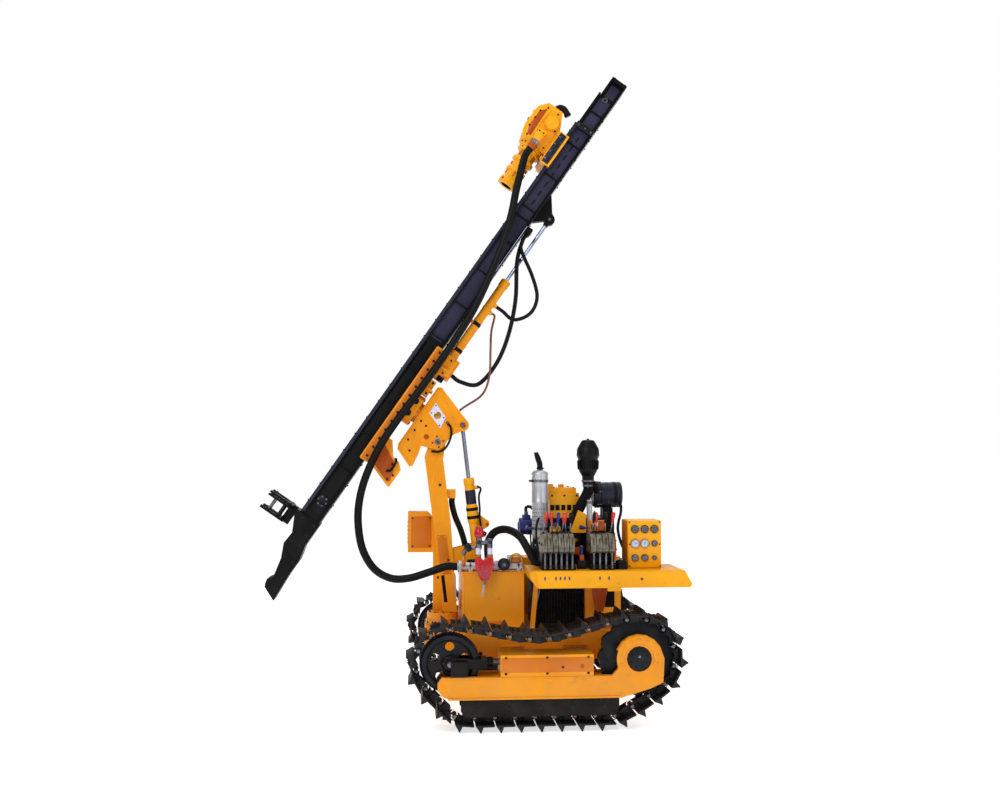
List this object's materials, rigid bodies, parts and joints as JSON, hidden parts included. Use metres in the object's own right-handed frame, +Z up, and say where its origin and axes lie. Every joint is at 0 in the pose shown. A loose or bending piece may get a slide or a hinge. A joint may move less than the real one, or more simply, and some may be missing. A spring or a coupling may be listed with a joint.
{
  "type": "crawler drilling rig",
  "caption": "Crawler rock drilling rig: two tracks, an open engine and console deck, and a leaning mast with a rotary head on a slewing post.",
  "frame": {"origin": "on the ground, at the centre of the machine's length and width", "axes": "+X forwards, to the end that the mast's foot reaches over; +Y to the machine's left; +Z up"},
  "size_m": [3.2626, 2, 5.0457],
  "materials": {
    "orange_paint": "worn gloss paint",
    "yellow_paint": "gloss paint",
    "black_paint": "satin paint",
    "track_steel": "worn dark steel",
    "bare_steel": "polished rod",
    "silver_paint": "silver heat paint",
    "red_paint": "gloss paint",
    "blue_paint": "gloss paint",
    "rubber": "matt rubber"
  },
  "bodies": {
    "chassis": {"chassis_frame": "orange_paint", "track_left": "track_steel", "track_right": "track_steel", "track_frame_left": "orange_paint", "track_frame_right": "orange_paint", "idler_left": "track_steel", "idler_right": "track_steel", "sprocket_left": "track_steel", "sprocket_right": "track_steel", "tensioner_left": "black_paint", "tensioner_right": "black_paint", "track_motor_left": "black_paint", "track_motor_right": "black_paint", "tank_box": "orange_paint", "fuel_tank": "orange_paint", "oil_cooler": "black_paint", "console_deck": "yellow_paint", "gauge_panel": "yellow_paint", "valve_bank_front": "black_paint", "valve_bank_rear": "black_paint", "engine_block": "black_paint", "engine_cover": "yellow_paint", "hydraulic_pump": "blue_paint", "muffler": "silver_paint", "exhaust_tip": "black_paint", "exhaust_manifold": "track_steel", "pre_cleaner": "black_paint", "air_duct": "black_paint", "air_filter": "black_paint", "air_pipe": "silver_paint", "air_valve": "red_paint", "air_regulator": "black_paint", "arch_hose": "rubber"},
    "swing_post": {"turntable": "orange_paint", "boom_post": "orange_paint", "post_hose": "rubber"},
    "tilt_cylinder_barrel": {"tilt_barrel": "yellow_paint"},
    "tilt_cylinder_rod": {"tilt_rod": "bare_steel"},
    "boom_head": {"boom_head": "orange_paint", "pilot_hose": "rubber"},
    "mast_carrier": {"mast_carrier": "orange_paint", "feed_barrel": "yellow_paint"},
    "mast": {"mast_beam": "black_paint", "mast_foot": "black_paint", "rod_guide": "black_paint", "feed_rod": "bare_steel", "feed_chain": "track_steel", "top_sheave": "track_steel", "feed_sprocket": "track_steel", "feed_motor": "black_paint", "air_hose": "rubber", "loop_hose": "rubber", "long_hose": "rubber"},
    "drill_head": {"feed_carriage": "yellow_paint", "rotary_gearbox": "yellow_paint", "swivel_elbow": "black_paint"},
    "spindle": {"spindle": "yellow_paint"}
  },
  "joints": [
    {"name": "boom_swing", "type": "hinge", "parent": "chassis", "child": "swing_post", "pos_m": [0.17, 0, 0.72], "axis": [0, 0, 1], "range_deg": [-25, 25], "deforming": ["post_hose", "air_hose"]},
    {"name": "mast_tilt", "type": "hinge", "parent": "swing_post", "child": "boom_head", "pos_m": [0.215, 0, 2.07], "axis": [0, 1, 0], "range_deg": [-35, 35], "deforming": ["air_hose"]},
    {"name": "tilt_cylinder_foot", "type": "hinge", "parent": "swing_post", "child": "tilt_cylinder_barrel", "pos_m": [-0.1, 0, 1.228], "axis": [0, 1, 0], "range_deg": [-4, 4]},
    {"name": "tilt_cylinder_stroke", "type": "slide", "parent": "tilt_cylinder_barrel", "child": "tilt_cylinder_rod", "axis": [0.119, 0, 0.9929], "range_m": [-0.15, 0.15]},
    {"name": "mast_swing", "type": "hinge", "parent": "boom_head", "child": "mast_carrier", "pos_m": [0.38292, 0, 2.30849], "axis": [-0.8211, 0, -0.5707], "range_deg": [-30, 30], "deforming": ["air_hose", "pilot_hose"]},
    {"name": "mast_slide", "type": "slide", "parent": "mast_carrier", "child": "mast", "axis": [-0.5707, 0, 0.8211], "range_m": [-0.55, 0.05], "deforming": ["air_hose", "loop_hose", "long_hose"]},
    {"name": "drill_feed", "type": "slide", "parent": "mast", "child": "drill_head", "axis": [-0.5707, 0, 0.8211], "range_m": [-2.9, 0.1], "deforming": ["air_hose"]},
    {"name": "spindle_turn", "type": "hinge", "parent": "drill_head", "child": "spindle", "pos_m": [-0.43292, 0, 4.29886], "axis": [-0.5707, 0, 0.8211], "continuous": true}
  ],
  "couplings": [
    {"joint": "tilt_cylinder_foot", "follows": "mast_tilt", "ratio": 0.103},
    {"joint": "tilt_cylinder_stroke", "follows": "mast_tilt", "m_per_rad": 0.207}
  ]
}
